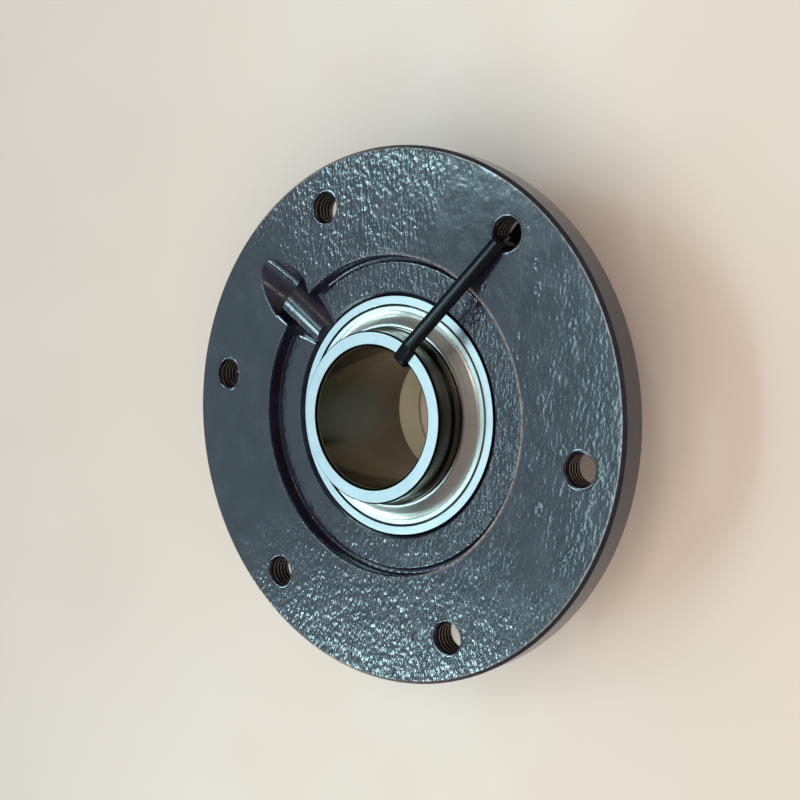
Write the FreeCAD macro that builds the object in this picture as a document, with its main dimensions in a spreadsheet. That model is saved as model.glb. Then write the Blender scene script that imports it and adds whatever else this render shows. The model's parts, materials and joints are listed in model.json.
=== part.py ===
"""Round flange bearing unit with a self-aligning ball insert and a locking collar.

Frame, in millimetres: the origin is on the bearing axis in the machined rear face of the flange,
+Z leaves the cast front face along the shaft, and +X passes through one of the six tapped holes.
"""
import FreeCAD, Part
import math
import os
import Sketcher

Vector = FreeCAD.Vector

doc = FreeCAD.newDocument("flange_bearing")

# ---------------------------------------------------------------- driving dimensions
DIMENSIONS = [
    ("flange_dia", 192.0),        # flange outer diameter
    ("flange_thick", 11.4),       # rear face to cast front face
    ("rim_chamfer", 1.1),         # front edge of the rim
    ("rear_chamfer", 0.5),
    ("hole_circle", 162.0),       # six tapped M12 holes
    ("hole_dia", 12.0),
    ("hole_chamfer", 0.2),        # front mouths
    ("hole_rear_chamfer", 0.5),
    ("wall_dia", 115.2),          # step wall of the front recess
    ("recess_depth", 4.5),        # front face to the flat land around the seat
    ("groove_depth", 5.9),        # front face to the foot of the step wall
    ("land_dia", 110.9),          # outer edge of the land
    ("groove_in_dia", 112.3),
    ("seat_mouth_dia", 89.8),     # mouth of the chamfer at the land
    ("seat_chamfer_z", 5.4),      # where the chamfer meets the spherical seat
    ("sphere_z", -4.9),           # centre of the spherical seat
    ("ring_dia", 90.0),           # spherical outer ring
    ("ring_width", 22.0),
    ("seat_gap", 0.03),           # radial clearance of the spherical seat
    ("pilot_dia", 125.0),         # machined spigot behind the flange
    ("pilot_depth", 4.0),
    ("pilot_chamfer", 0.6),
    ("hub_root_dia", 117.0),
    ("hub_end_dia", 107.0),
    ("hub_end_z", -17.5),
    ("hub_core_dia", 84.0),       # rough core, opened up later by the seat
    ("seat_rear_bevel", 2.2),
    ("port_angle", 146.35),       # direction of the lubrication port about +Z
    ("port_tilt", 25.5),          # the port axis dips towards the seat by this angle
    ("scoop_dia", 20.6),          # spot-faced hollow in front of the port
    ("scoop_cross", 57.96),       # where the hollow's axis crosses the front face
    ("spot_face_out", 63.6),      # where the spot face meets the front face
    ("port_drop", 4.4),           # port centre below the front face, along the spot face
    ("port_thread_dia", 6.0),
    ("port_thread_len", 9.0),
    ("port_oil_dia", 4.0),
    ("rib_dia", 16.4),            # rounded rib over the port
    ("rib_shift", 0.9),           # the rib stands this far to one side of the port
    ("rib_tilt", 14.1),
    ("rib_rise", 1.1),            # rib crest above the front face at the spot face
    ("rib_start", 38.0),          # radius at which the rib's bar begins, inside the seat
    ("rib_length", 28.0),
    ("rib_root_z", 1.5),          # the rib's bar is kept above this height
    ("flash_dia", 0.7),           # cast parting lines on the rib and in the hollow
    ("valley_rise", 8.0),
    ("valley_round", 0.9),
    ("bore_dia", 50.0),
    ("inner_width", 49.2),
    ("inner_end_z", 19.7),        # front end of the inner ring
    ("nose_dia", 61.4),           # front extension of the inner ring
    ("shoulder_dia", 64.0),
    ("nose_end_z", 11.6),
    ("cam_dia", 57.0),            # eccentric seat of the locking collar
    ("cam_length", 4.0),
    ("cam_shift", 0.9),
    ("collar_dia", 69.9),
    ("collar_end_z", -43.0),
    ("collar_bore_dia", 50.6),
    ("ball_dia", 12.7),
    ("ball_circle", 70.0),
    ("ball_play", 0.01),
    ("race_radius", 6.604),
    ("outer_shoulder_dia", 77.2),
    ("seal_seat_dia", 80.4),
    ("seal_seat_depth", 2.6),
    ("cage_inner_dia", 65.6),
    ("cage_outer_dia", 74.4),
    ("cage_sheet", 1.2),
    ("pocket_play", 0.15),
    ("rivet_dia", 1.8),
    ("pin_dia", 5.0),
    ("pin_tip", 43.3),
    ("pin_end", 52.3),
    ("pin_play", 0.03),
    ("loading_play", 0.3),        # room around the ring in the two loading slots
    ("screw_dia", 8.0),           # set screw of the collar
    ("screw_height", 6.5),        # above the collar's rear end
    ("screw_angle", 60.0),
    ("drift_dia", 6.0),
    ("drift_depth", 6.0),
    ("drift_angle", 240.0),
    ("collar_play", 0.05),
    ("oil_groove_rise", 3.0),
]
sheet = doc.addObject("Spreadsheet::Sheet", "Dims")
for row, (alias, number) in enumerate(DIMENSIONS, start=1):
    sheet.set("A%d" % row, alias)
    sheet.set("B%d" % row, str(number))
    sheet.setAlias("B%d" % row, alias)
doc.recompute()

BALL_COUNT = 10
HOLE_COUNT = 6
BALL_STEP = 360.0 / BALL_COUNT

subparts = []


def dim(alias):
    """Value of a driving dimension, for features that are searched by position."""
    return float(getattr(sheet, alias))


def keep(feature, label):
    """Give a finished sub-part its own label and list it for export."""
    feature.Label = label
    subparts.append(feature)
    return feature


def origin_plane(body, role):
    for item in body.Origin.OriginFeatures:
        if item.Role == role:
            return item
    raise RuntimeError("no plane " + role)


def origin_axis(body, role):
    return (origin_plane(body, role), [""])


def new_sketch(body, name, role):
    sketch = body.newObject("Sketcher::SketchObject", name)
    sketch.AttachmentSupport = (origin_plane(body, role), [""])
    sketch.MapMode = "FlatFace"
    return sketch


def bind_distance(sketch, kind, line, expression):
    """Hold the start point of a line at a distance from the sketch's origin."""
    index = sketch.addConstraint(Sketcher.Constraint(kind, -1, 1, line, 1, float(line + 1)))
    sketch.setExpression("Constraints[%d]" % index, expression)


def closed_outline(sketch, corners):
    """A closed polygon whose corners are pairs of expressions."""
    count = len(corners)
    for line in range(count):
        following = (line + 1) % count
        start = Vector(line + 1, line + 1, 0)
        end = Vector(following + 1, following + 1, 0)
        sketch.addGeometry(Part.LineSegment(start, end), False)
    for line in range(count):
        following = (line + 1) % count
        sketch.addConstraint(Sketcher.Constraint("Coincident", line, 2, following, 1))
    for line, (across, along) in enumerate(corners):
        bind_distance(sketch, "DistanceX", line, across)
        bind_distance(sketch, "DistanceY", line, along)


def turned_body(name, corners):
    """A body turned about Z from an outline of (radius, height) corners."""
    body = doc.addObject("PartDesign::Body", name)
    sketch = new_sketch(body, name + "_outline", "XZ_Plane")
    closed_outline(sketch, corners)
    turned = body.newObject("PartDesign::Revolution", name + "_turned")
    turned.Profile = sketch
    turned.ReferenceAxis = origin_axis(body, "Z_Axis")
    turned.Angle = 360.0
    body.Tip = turned
    doc.recompute()
    return body


def round_edges(body, name, radius, circles):
    """Fillet the full circles of a turned body, given as (radius, height) pairs."""
    names = circle_edges(body.Shape, circles)
    solid = body.Tip
    fillet = body.newObject("PartDesign::Fillet", name)
    fillet.Base = (solid, names)
    fillet.Radius = radius
    body.Tip = fillet
    doc.recompute()


def circle_edges(shape, circles):
    tolerance = 0.02
    names = []
    for index, edge in enumerate(shape.Edges, start=1):
        if not isinstance(edge.Curve, Part.Circle):
            continue
        centre = edge.Curve.Center
        if math.hypot(centre.x, centre.y) > tolerance:
            continue
        for radius, height in circles:
            if abs(edge.Curve.Radius - radius) < tolerance and abs(centre.z - height) < tolerance:
                names.append("Edge%d" % index)
    if len(names) < len(circles):
        raise RuntimeError("an edge to round is missing")
    return names


def primitive(kind, name, sizes, placement=None):
    """A Part primitive with its sizes and placement bound to the sheet."""
    feature = doc.addObject(kind, name)
    for size, expression in sizes.items():
        feature.setExpression(size, expression)
    if placement:
        for path, expression in placement.items():
            feature.setExpression(path, expression)
    return feature


def at(across="0", depth="0", height="0"):
    return {"Placement.Base.x": across, "Placement.Base.y": depth, "Placement.Base.z": height}


def boolean(kind, name, base, tool):
    feature = doc.addObject(kind, name)
    feature.Base = base
    feature.Tool = tool
    return feature


def union(name, shapes):
    feature = doc.addObject("Part::MultiFuse", name)
    feature.Shapes = shapes
    return feature


def leaning(feature, yaw, pitch, base):
    """Aim a primitive's axis: yaw turns it about Z, pitch leans it from Z (expressions)."""
    turn = "create(<<rotation>>; %s; %s; 0)" % (yaw, pitch)
    place = "create(<<vector>>; %s; %s; %s)" % base
    feature.setExpression("Placement", "create(<<placement>>; %s; %s)" % (place, turn))


def ray(radius, height, aside="0"):
    """Base point at a radius along the port's direction, and aside from it by a distance."""
    turn = "(Dims.port_angle * 1 deg)"
    across = "(%s) * cos%s - (%s) * sin%s" % (radius, turn, aside, turn)
    depth = "(%s) * sin%s + (%s) * cos%s" % (radius, turn, aside, turn)
    return (across, depth, height)


def flash_line(name, bar, degrees, start, length):
    """Thin cast ridge along the wall of a round bar that leans outwards over the port.

    bar holds the bar's axis start (radius, height, aside), its radius and its tilt, as
    expressions; degrees says where on the wall, counted from the side up to the top.
    """
    axis_r, axis_z, aside, bar_r, tilt = bar
    rise = "(%s) * sin(%g deg)" % (bar_r, degrees)
    along_r = "%s - %s * sin(%s) + %g * cos(%s)" % (axis_r, rise, tilt, start, tilt)
    along_z = "%s + %s * cos(%s) + %g * sin(%s)" % (axis_z, rise, tilt, start, tilt)
    away = "%s + (%s) * cos(%g deg)" % (aside, bar_r, degrees)
    ridge = primitive("Part::Cylinder", name, {"Radius": "Dims.flash_dia / 2", "Height": str(length)})
    leaning(ridge, "Dims.port_angle", "90 - (%s) / 1 deg" % tilt, ray(along_r, along_z, away))
    return ridge


# ---------------------------------------------------------------- housing
FACE = "Dims.flange_thick"
LAND = "(Dims.flange_thick - Dims.recess_depth)"
GROOVE = "(Dims.flange_thick - Dims.groove_depth)"


def make_housing():
    """Cast flange and hub with the front recess, tapped holes, port and spherical seat."""
    core_r = "Dims.hub_core_dia / 2"
    corners = [
        (core_r, "Dims.hub_end_z"),
        ("Dims.hub_end_dia / 2", "Dims.hub_end_z"),
        ("Dims.hub_root_dia / 2", "-Dims.pilot_depth"),
        ("Dims.pilot_dia / 2 - Dims.pilot_chamfer", "-Dims.pilot_depth"),
        ("Dims.pilot_dia / 2", "-Dims.pilot_depth + Dims.pilot_chamfer"),
        ("Dims.pilot_dia / 2", "0"),
        ("Dims.flange_dia / 2 - Dims.rear_chamfer", "0"),
        ("Dims.flange_dia / 2", "Dims.rear_chamfer"),
        ("Dims.flange_dia / 2", FACE + " - Dims.rim_chamfer"),
        ("Dims.flange_dia / 2 - Dims.rim_chamfer", FACE),
        ("Dims.wall_dia / 2", FACE),
        ("Dims.wall_dia / 2", GROOVE),
        ("Dims.groove_in_dia / 2", GROOVE),
        ("Dims.land_dia / 2", LAND),
        (core_r, LAND),
    ]
    blank = turned_body("housing_blank", corners)
    face_z = dim("flange_thick")
    groove_z = face_z - dim("groove_depth")
    land_z = face_z - dim("recess_depth")
    round_edges(blank, "groove_foot", 0.8, [(dim("wall_dia") / 2, groove_z)])
    round_edges(blank, "land_edge", 0.5, [(dim("land_dia") / 2, land_z)])
    round_edges(blank, "step_edge", 0.5, [(dim("wall_dia") / 2, face_z)])
    round_edges(blank, "hub_root", 3.0, [(dim("hub_root_dia") / 2, -dim("pilot_depth"))])
    round_edges(blank, "hub_end", 1.5, [(dim("hub_end_dia") / 2, dim("hub_end_z"))])
    return with_port(tapped(blank))


def tapped(blank):
    """Six holes right through the flange, each with a small chamfer at both mouths."""
    sketch = new_sketch(blank, "hole_centre", "XY_Plane")
    place_r = dim("hole_circle") / 2
    hole_r = dim("hole_dia") / 2
    sketch.addGeometry(Part.Circle(Vector(place_r, 0, 0), Vector(0, 0, 1), hole_r), False)
    sketch.addConstraint(Sketcher.Constraint("PointOnObject", 0, 3, -1))
    index = sketch.addConstraint(Sketcher.Constraint("DistanceX", -1, 1, 0, 3, place_r))
    sketch.setExpression("Constraints[%d]" % index, "Dims.hole_circle / 2")
    index = sketch.addConstraint(Sketcher.Constraint("Radius", 0, hole_r))
    sketch.setExpression("Constraints[%d]" % index, "Dims.hole_dia / 2")
    before = blank.Shape.Volume
    drill = blank.newObject("PartDesign::Pocket", "tap_drill")
    drill.Profile = sketch
    drill.Type = "ThroughAll"
    drill.Reversed = True
    blank.Tip = drill
    doc.recompute()
    if blank.Shape.Volume >= before - 1.0:
        raise RuntimeError("the tapped hole cuts nothing")
    front = mouth_chamfer(blank, "front_chamfer", "hole_chamfer", dim("flange_thick"))
    rear = mouth_chamfer(blank, "rear_chamfer", "hole_rear_chamfer", 0.0)
    pattern = blank.newObject("PartDesign::PolarPattern", "tap_pattern")
    pattern.Originals = [drill, front, rear]
    pattern.Axis = origin_axis(blank, "Z_Axis")
    pattern.Angle = 360.0
    pattern.Occurrences = HOLE_COUNT
    blank.Tip = pattern
    doc.recompute()
    return blank


def mouth_chamfer(body, name, alias, height):
    """Chamfer the first tapped hole's mouth at a height."""
    solid = body.Tip
    mouths = []
    for number, edge in enumerate(body.Shape.Edges, start=1):
        if not isinstance(edge.Curve, Part.Circle):
            continue
        same_size = abs(edge.Curve.Radius - dim("hole_dia") / 2) < 0.01
        if same_size and abs(edge.Curve.Center.z - height) < 0.01:
            mouths.append("Edge%d" % number)
    chamfer = body.newObject("PartDesign::Chamfer", name)
    chamfer.Base = (solid, mouths)
    chamfer.setExpression("Size", "Dims." + alias)
    body.Tip = chamfer
    doc.recompute()
    return chamfer


def valley_tool():
    """The gap in the land beside the rib, and the notch that it leaves in the flange."""
    body = doc.addObject("PartDesign::Body", "valley_tool")
    body.setExpression("Placement.Base.z", GROOVE)
    body.Placement.Rotation = FreeCAD.Rotation(Vector(0, 0, 1), dim("port_angle"))
    sketch = new_sketch(body, "valley_plan", "XY_Plane")
    land_edge = "Dims.land_dia / 2 "
    wall = "Dims.wall_dia / 2 "
    left_side = [
        ("40", 5.2),
        (land_edge + "- 11.1", 6.2),
        (land_edge + "- 6.4", 8.1),
        (land_edge + "- 2.7", 9.8),
        (land_edge + "- 0.9", 11.2),
        (land_edge + "+ 0.2", 13.0),
        (land_edge + "+ 0.9", 13.0),
        (wall + "- 1.2", 8.4),
        (wall + "+ 4.3", 9.3),
        ("Dims.spot_face_out + 0.2", 9.6),
    ]
    right_side = [
        ("40", 5.2),
        (land_edge + "- 10.2", 6.3),
        (land_edge + "- 5.9", 7.9),
        (land_edge + "- 2.5", 9.3),
        (land_edge + "- 1.0", 10.5),
        (land_edge + "- 0.1", 12.6),
        (land_edge + "+ 0.9", 12.6),
        (wall + "- 1.2", 7.0),
        (wall + "+ 4.6", 9.6),
        ("Dims.spot_face_out + 0.2", 9.9),
    ]
    corners = [(along, str(-width)) for along, width in right_side]
    corners += [(along, str(width)) for along, width in reversed(left_side)]
    closed_outline(sketch, corners)
    pad = body.newObject("PartDesign::Pad", "valley_pad")
    pad.Profile = sketch
    pad.setExpression("Length", "Dims.valley_rise")
    body.Tip = pad
    doc.recompute()
    upright = []
    for number, edge in enumerate(pad.Shape.Edges, start=1):
        first = edge.Vertexes[0].Point
        last = edge.Vertexes[-1].Point
        steep = abs(first.z - last.z) > dim("valley_rise") / 2
        at_land_end = dim("land_dia") / 2 - 3 < first.x < dim("land_dia") / 2 and abs(first.y) < 12
        if steep and at_land_end:
            upright.append("Edge%d" % number)
    fillet = body.newObject("PartDesign::Fillet", "valley_corners")
    fillet.Base = (pad, upright)
    fillet.setExpression("Radius", "Dims.valley_round")
    body.Tip = fillet
    doc.recompute()
    return body


def make_scoop():
    """The round bar that hollows out the flange in front of the port, from its spot face outwards."""
    run = "(Dims.spot_face_out - Dims.scoop_cross)"
    start_r = "Dims.scoop_cross + %s * cos(Dims.port_tilt * 1 deg)^2" % run
    start_z = FACE + " + %s * cos(Dims.port_tilt * 1 deg) * sin(Dims.port_tilt * 1 deg)" % run
    scoop = primitive("Part::Cylinder", "scoop", {
        "Radius": "Dims.scoop_dia / 2",
        "Height": "Dims.flange_dia / 2 - Dims.spot_face_out + 28",
    })
    leaning(scoop, "Dims.port_angle", "90 - Dims.port_tilt", ray(start_r, start_z))
    bar = (start_r, start_z, "0", "Dims.scoop_dia / 2", "Dims.port_tilt * 1 deg")
    lines = [flash_line("scoop_flash_%d" % degrees, bar, degrees, 3, 24) for degrees in (246, 260)]
    disc = primitive("Part::Cylinder", "flash_disc", {
        "Radius": "Dims.flange_dia / 2 - 2",
        "Height": FACE + " - 1.1",
    }, at(height="1"))
    return scoop, boolean("Part::Common", "scoop_flash", union("scoop_lines", lines), disc)


def make_rib():
    """The rounded rib that carries the port, with its parting lines."""
    lean = "Dims.rib_tilt * 1 deg"
    crest_z = FACE + " + Dims.rib_rise - (Dims.spot_face_out - Dims.rib_start) * tan(%s)" % lean
    axis_r = "Dims.rib_start + Dims.rib_dia / 2 * sin(%s)" % lean
    axis_z = crest_z + " - Dims.rib_dia / 2 * cos(%s)" % lean
    rib = primitive("Part::Cylinder", "rib_bar", {"Radius": "Dims.rib_dia / 2", "Height": "Dims.rib_length"})
    leaning(rib, "Dims.port_angle", "90 - Dims.rib_tilt", ray(axis_r, axis_z, "Dims.rib_shift"))
    bar = (axis_r, axis_z, "Dims.rib_shift", "Dims.rib_dia / 2", lean)
    lines = [flash_line("rib_flash_%d" % degrees, bar, degrees, 1, 27) for degrees in (58, 66)]
    slab = primitive("Part::Cylinder", "rib_slab", {
        "Radius": "Dims.spot_face_out + 6",
        "Height": FACE + " + 8",
    }, at(height="Dims.rib_root_z"))
    return boolean("Part::Common", "rib", union("rib_ridged", [rib] + lines), slab)


def make_seat_tools():
    """Spherical seat, its two cones, and the two slots through which the insert is loaded."""
    ball_r = "(Dims.ring_dia / 2 + Dims.seat_gap)"
    seat = primitive("Part::Sphere", "seat_ball", {"Radius": ball_r}, at(height="Dims.sphere_z"))
    seat_rim = "sqrt(%s^2 - (Dims.seat_chamfer_z - Dims.sphere_z)^2)" % ball_r
    slope = "(Dims.seat_mouth_dia / 2 - %s) / (%s - Dims.seat_chamfer_z)" % (seat_rim, LAND)
    mouth = primitive("Part::Cone", "seat_mouth", {
        "Radius1": seat_rim,
        "Radius2": "%s + Dims.valley_rise * %s" % (seat_rim, slope),
        "Height": "Dims.valley_rise",
    }, at(height="Dims.seat_chamfer_z"))
    rear = primitive("Part::Cone", "seat_rear", {
        "Radius1": "Dims.ring_dia / 2",
        "Radius2": "Dims.ring_dia / 2 - Dims.seat_rear_bevel",
        "Height": "Dims.seat_rear_bevel",
    }, at(height="Dims.hub_end_z"))
    slot_width = "(Dims.ring_width + 2 * Dims.loading_play)"
    slot_bar = primitive("Part::Box", "loading_bar", {
        "Length": slot_width,
        "Width": "Dims.ring_dia + 10",
        "Height": "Dims.sphere_z - Dims.hub_end_z + 1",
    }, at("-%s / 2" % slot_width, "-(Dims.ring_dia + 10) / 2", "Dims.hub_end_z - 1"))
    slot_round = primitive("Part::Cylinder", "loading_round", {
        "Radius": "Dims.ring_dia / 2 + Dims.loading_play",
        "Height": "Dims.sphere_z - Dims.hub_end_z + 10",
    }, at(height="Dims.hub_end_z - 5"))
    slots = boolean("Part::Common", "loading_slots", slot_bar, slot_round)
    return [seat, mouth, rear, slots]


def drilled_port(name, radius, length, reach):
    """A hole along the port's axis that starts a reach inside the spot face and runs outwards."""
    tilt = "(Dims.port_tilt * 1 deg)"
    base_r = "Dims.spot_face_out + Dims.port_drop * sin%s - (%s) * cos%s" % (tilt, reach, tilt)
    base_z = "%s - Dims.port_drop * cos%s - (%s) * sin%s" % (FACE, tilt, reach, tilt)
    hole = primitive("Part::Cylinder", name, {"Radius": radius, "Height": length})
    leaning(hole, "Dims.port_angle", "90 - Dims.port_tilt", ray(base_r, base_z))
    return hole


def with_port(blank):
    """Hollow, spot face, rib and drilled port, then the seat that they all open into."""
    scoop, scoop_lines = make_scoop()
    notched = boolean("Part::Cut", "housing_notched", blank, valley_tool())
    ribbed = union("housing_ribbed", [notched, make_rib()])
    cleared = boolean("Part::Cut", "housing_cleared", ribbed, scoop)
    scooped = union("housing_scooped", [cleared, scoop_lines])
    thread_length = "Dims.port_thread_len"
    tap = drilled_port("port_tap", "Dims.port_thread_dia / 2", thread_length + " + 5", thread_length)
    oil = drilled_port("port_oil", "Dims.port_oil_dia / 2", "24", "24")
    pin_start = "Dims.hub_core_dia / 2 - 2"
    pin_hole = primitive("Part::Cylinder", "pin_hole", {
        "Radius": "Dims.pin_dia / 2 + Dims.pin_play",
        "Height": "Dims.pin_end + 0.3 - (%s)" % pin_start,
    })
    leaning(pin_hole, "0", "90", (pin_start, "0", "Dims.sphere_z"))
    tools = union("seat_tools", make_seat_tools() + [tap, oil, pin_hole])
    housing = boolean("Part::Cut", "housing", scooped, tools)
    doc.recompute()
    return housing


keep(make_housing(), "housing")


# ---------------------------------------------------------------- insert rings
def race_torus(name, offset):
    """Tool for one raceway; offset says which side of the ball circle it opens to."""
    centre_shift = "(Dims.race_radius - Dims.ball_dia / 2 - Dims.ball_play)"
    return primitive("Part::Torus", name, {
        "Radius1": "Dims.ball_circle / 2 %s %s" % (offset, centre_shift),
        "Radius2": "Dims.race_radius",
    }, at(height="Dims.sphere_z"))


def make_outer_ring():
    """Spherical outer ring with raceway, two seal seats, oil groove and a slot for the pin."""
    half = "Dims.ring_width / 2"
    front = "(Dims.sphere_z + %s)" % half
    rear = "(Dims.sphere_z - %s)" % half
    face_r = "(sqrt((Dims.ring_dia / 2)^2 - (%s)^2) - 0.5)" % half
    corners = [
        ("Dims.seal_seat_dia / 2 + 0.2", rear),
        (face_r, rear),
        ("Dims.ring_dia / 2 + 1", rear + " + 2.0"),
        ("Dims.ring_dia / 2 + 1", front + " - 2.0"),
        (face_r, front),
        ("Dims.seal_seat_dia / 2 + 0.2", front),
        ("Dims.seal_seat_dia / 2", front + " - 0.2"),
        ("Dims.seal_seat_dia / 2", front + " - Dims.seal_seat_depth"),
        ("Dims.outer_shoulder_dia / 2", front + " - Dims.seal_seat_depth"),
        ("Dims.outer_shoulder_dia / 2", rear + " + Dims.seal_seat_depth"),
        ("Dims.seal_seat_dia / 2", rear + " + Dims.seal_seat_depth"),
        ("Dims.seal_seat_dia / 2", rear + " + 0.2"),
    ]
    blank = turned_body("outer_blank", corners)
    ball = primitive("Part::Sphere", "outer_ball", {"Radius": "Dims.ring_dia / 2"}, at(height="Dims.sphere_z"))
    ring = boolean("Part::Common", "outer_round", blank, ball)
    groove = primitive("Part::Torus", "oil_groove", {
        "Radius1": "Dims.ring_dia / 2 + 0.1",
        "Radius2": "1.0",
    }, at(height="Dims.sphere_z + Dims.oil_groove_rise"))
    oil = primitive("Part::Cylinder", "oil_hole", {"Radius": "0.9", "Height": "12"})
    leaning(oil, "Dims.port_angle", "90", ray("36", "Dims.sphere_z + Dims.oil_groove_rise"))
    slot = primitive("Part::Box", "pin_slot", {
        "Length": "6",
        "Width": "Dims.pin_dia + 0.1",
        "Height": "10.4",
    }, at("Dims.pin_tip - 0.4", "-(Dims.pin_dia + 0.1) / 2", "Dims.sphere_z - 5.2"))
    tools = union("outer_tools", [race_torus("outer_race", "-"), groove, oil, slot])
    return boolean("Part::Cut", "outer_ring", ring, tools)


def make_inner_ring():
    """Wide inner ring: plain nose in front, raceway shoulders, eccentric cam behind."""
    rear = "(Dims.inner_end_z - Dims.inner_width)"
    cam = "(%s + Dims.cam_length)" % rear
    corners = [
        ("Dims.bore_dia / 2 + 1.0", "Dims.inner_end_z"),
        ("Dims.nose_dia / 2 - 0.6", "Dims.inner_end_z"),
        ("Dims.nose_dia / 2", "Dims.inner_end_z - 0.6"),
        ("Dims.nose_dia / 2", "Dims.nose_end_z"),
        ("Dims.nose_dia / 2 + 0.65", "Dims.nose_end_z"),
        ("Dims.nose_dia / 2 + 0.65", "Dims.nose_end_z - 0.3"),
        ("Dims.shoulder_dia / 2", "Dims.nose_end_z - 0.6"),
        ("Dims.shoulder_dia / 2", cam + " + 0.4"),
        ("Dims.shoulder_dia / 2 - 0.4", cam),
        ("Dims.cam_dia / 2 - 1.4", cam),
        ("Dims.cam_dia / 2 - 1.4", rear),
        ("Dims.bore_dia / 2 + 0.6", rear),
        ("Dims.bore_dia / 2", rear + " + 0.6"),
        ("Dims.bore_dia / 2", "Dims.inner_end_z - 1.0"),
    ]
    blank = turned_body("inner_blank", corners)
    cam_bar = primitive("Part::Cylinder", "cam_bar", {
        "Radius": "Dims.cam_dia / 2",
        "Height": "Dims.cam_length + 0.5",
    }, at("Dims.cam_shift", "0", rear))
    bore = primitive("Part::Cylinder", "cam_bore", {
        "Radius": "Dims.bore_dia / 2 + 0.6",
        "Height": "Dims.cam_length + 2",
    }, at(height=rear + " - 1"))
    cam_ring = boolean("Part::Cut", "cam_ring", cam_bar, bore)
    fused = union("inner_fused", [blank, cam_ring])
    return boolean("Part::Cut", "inner_ring", fused, race_torus("inner_race", "+"))


keep(make_outer_ring(), "outer_ring")
keep(make_inner_ring(), "inner_ring")


# ---------------------------------------------------------------- locking collar
def make_collar():
    """Eccentric locking collar with a radial set screw hole and a blind hole for a drift."""
    top = "(Dims.inner_end_z - Dims.inner_width + Dims.cam_length)"
    corners = [
        ("Dims.collar_bore_dia / 2 + 0.8", "Dims.collar_end_z"),
        ("Dims.collar_dia / 2 - 1.0", "Dims.collar_end_z"),
        ("Dims.collar_dia / 2", "Dims.collar_end_z + 1.0"),
        ("Dims.collar_dia / 2", top + " - 0.8"),
        ("Dims.collar_dia / 2 - 0.8", top),
        ("Dims.collar_bore_dia / 2", top),
        ("Dims.collar_bore_dia / 2", "Dims.collar_end_z + 0.8"),
    ]
    blank = turned_body("collar_blank", corners)
    recess = primitive("Part::Cylinder", "cam_recess", {
        "Radius": "Dims.cam_dia / 2 + Dims.collar_play",
        "Height": "Dims.cam_length + 5",
    }, at("Dims.cam_shift", "0", top + " - Dims.cam_length - Dims.collar_play"))
    screw_z = "Dims.collar_end_z + Dims.screw_height"
    screw = primitive("Part::Cylinder", "screw_hole", {
        "Radius": "Dims.screw_dia / 2",
        "Height": "Dims.collar_dia",
    })
    leaning(screw, "Dims.screw_angle", "90", ("0", "0", screw_z))
    inside = "(Dims.collar_dia / 2 - Dims.drift_depth)"
    turn = "(Dims.drift_angle * 1 deg)"
    drift = primitive("Part::Cylinder", "drift_hole", {"Radius": "Dims.drift_dia / 2", "Height": "20"})
    leaning(drift, "Dims.drift_angle", "90", (inside + " * cos" + turn, inside + " * sin" + turn, screw_z))
    tools = union("collar_tools", [recess, screw, drift])
    return boolean("Part::Cut", "locking_collar", blank, tools)


def make_set_screw():
    """Hexagon socket set screw in the collar, its point just short of the shaft."""
    body = doc.addObject("PartDesign::Body", "set_screw")
    ring = new_sketch(body, "screw_outline", "XY_Plane")
    ring.addGeometry(Part.Circle(Vector(0, 0, 0), Vector(0, 0, 1), dim("screw_dia") / 2), False)
    ring.addConstraint(Sketcher.Constraint("Coincident", 0, 3, -1, 1))
    index = ring.addConstraint(Sketcher.Constraint("Radius", 0, dim("screw_dia") / 2))
    ring.setExpression("Constraints[%d]" % index, "Dims.screw_dia / 2 - 0.03")
    shank = body.newObject("PartDesign::Pad", "screw_shank")
    shank.Profile = ring
    shank.setExpression("Length", "Dims.collar_dia / 2 - Dims.collar_bore_dia / 2 - 1.0")
    body.Tip = shank
    doc.recompute()
    ends = []
    for number, edge in enumerate(body.Shape.Edges, start=1):
        if isinstance(edge.Curve, Part.Circle):
            ends.append("Edge%d" % number)
    bevel = body.newObject("PartDesign::Chamfer", "screw_bevel")
    bevel.Base = (shank, ends)
    bevel.Size = 0.6
    body.Tip = bevel
    doc.recompute()
    hexagon = new_sketch(body, "socket_outline", "XY_Plane")
    corner_r = 4.0 / math.sqrt(3.0)
    points = []
    for side in range(6):
        angle = math.radians(60.0 * side)
        points.append(Vector(corner_r * math.cos(angle), corner_r * math.sin(angle), 0))
    for side in range(6):
        hexagon.addGeometry(Part.LineSegment(points[side], points[(side + 1) % 6]), False)
    for side in range(6):
        hexagon.addConstraint(Sketcher.Constraint("Coincident", side, 2, (side + 1) % 6, 1))
    socket = body.newObject("PartDesign::Pocket", "screw_socket")
    socket.Profile = hexagon
    socket.Type = "Length"
    socket.Length = 4.0
    socket.Reversed = True
    body.Tip = socket
    doc.recompute()
    if body.Shape.Volume >= bevel.Shape.Volume - 1.0:
        raise RuntimeError("the hexagon socket cuts nothing")
    outer = "(Dims.collar_dia / 2 - 0.6)"
    turn = "(Dims.screw_angle * 1 deg)"
    base = (outer + " * cos" + turn, outer + " * sin" + turn, "Dims.collar_end_z + Dims.screw_height")
    leaning(body, "Dims.screw_angle + 180", "90", base)
    return body


keep(make_collar(), "locking_collar")
keep(make_set_screw(), "collar_set_screw")


# ---------------------------------------------------------------- balls and cage
def on_ball_circle(angle):
    """Placement on the ball circle at an angle from +X, in degrees."""
    across = "Dims.ball_circle / 2 * cos(%g deg)" % angle
    depth = "Dims.ball_circle / 2 * sin(%g deg)" % angle
    return at(across, depth, "Dims.sphere_z")


def ring_of_balls(name, radius):
    """Spheres of one radius at every ball's place, as one tool."""
    balls = []
    for number in range(BALL_COUNT):
        place = on_ball_circle(number * BALL_STEP)
        balls.append(primitive("Part::Sphere", "%s_%02d" % (name, number + 1), {"Radius": radius}, place))
    return union(name, balls)


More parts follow.
